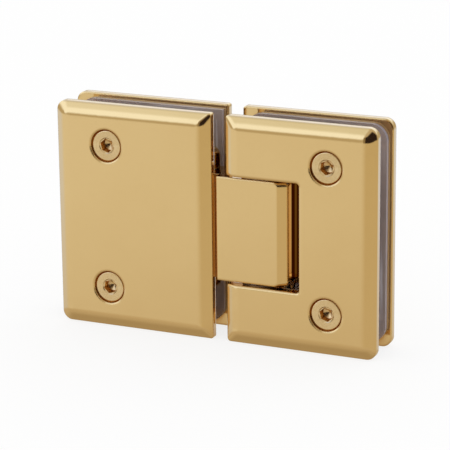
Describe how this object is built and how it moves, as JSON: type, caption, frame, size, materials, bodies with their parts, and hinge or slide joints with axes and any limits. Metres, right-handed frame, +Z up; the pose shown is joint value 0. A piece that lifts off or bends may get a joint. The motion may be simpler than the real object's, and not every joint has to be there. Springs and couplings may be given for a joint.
{
  "type": "glass door hinge",
  "caption": "Glass-to-glass door hinge with bevelled gold clamping plates; the door leaf swings both ways about a pin in a central block.",
  "frame": {"origin": "the middle of the hinge: mid-height, mid-thickness and half way between the outer edges of the two leaves", "axes": "+X from the fixed leaf to the door leaf, -Y out of the front, where the screws are, +Z up along the pivot pin"},
  "size_m": [0.1334, 0.0242, 0.09],
  "materials": {
    "polished_gold": "mirror-polished stainless steel with a gold vapour-deposited coating",
    "gold_screw": "polished, gold coated, hexagon socket",
    "clear_gasket": "clear soft vinyl sheet, slightly hazy",
    "white_nylon": "natural nylon",
    "steel": "ground stainless steel",
    "dark_steel": "black oxide steel",
    "spring_steel": "oiled spring wire",
    "bronze": "plain bronze"
  },
  "bodies": {
    "fixed_leaf": {"fixed_front_plate": "polished_gold", "fixed_back_plate": "polished_gold", "hinge_block": "polished_gold", "fixed_front_gasket": "clear_gasket", "fixed_back_gasket": "clear_gasket", "fixed_upper_screw": "gold_screw", "fixed_lower_screw": "gold_screw", "fixed_upper_sleeve": "white_nylon", "fixed_lower_sleeve": "white_nylon", "upper_bush": "bronze", "lower_bush": "bronze", "upper_thrust_washer": "white_nylon", "lower_thrust_washer": "white_nylon", "block_upper_bolt": "steel", "block_lower_bolt": "steel", "upper_spring": "spring_steel", "lower_spring": "spring_steel", "upper_adjuster": "steel", "lower_adjuster": "steel"},
    "door_leaf": {"door_front_plate": "polished_gold", "door_back_plate": "polished_gold", "door_front_gasket": "clear_gasket", "door_back_gasket": "clear_gasket", "door_upper_screw": "gold_screw", "door_lower_screw": "gold_screw", "door_upper_sleeve": "white_nylon", "door_lower_sleeve": "white_nylon", "pivot_pin": "steel", "pin_upper_set_screw": "dark_steel", "pin_lower_set_screw": "dark_steel"},
    "upper_detent": {"upper_follower": "steel"},
    "lower_detent": {"lower_follower": "steel"}
  },
  "joints": [
    {"name": "door_swing", "type": "hinge", "parent": "fixed_leaf", "child": "door_leaf", "pos_m": [0.01625, 0, 0], "axis": [0, 0, 1], "range_deg": [-90, 90]},
    {"name": "upper_detent_slide", "type": "slide", "parent": "fixed_leaf", "child": "upper_detent", "axis": [1, 0, 0], "range_m": [-0.0006, 0], "stiffness_N_per_m": 800, "springref_m": 0.002, "deforming": ["upper_spring"]},
    {"name": "lower_detent_slide", "type": "slide", "parent": "fixed_leaf", "child": "lower_detent", "axis": [1, 0, 0], "range_m": [-0.0006, 0], "stiffness_N_per_m": 800, "springref_m": 0.002, "deforming": ["lower_spring"]}
  ]
}
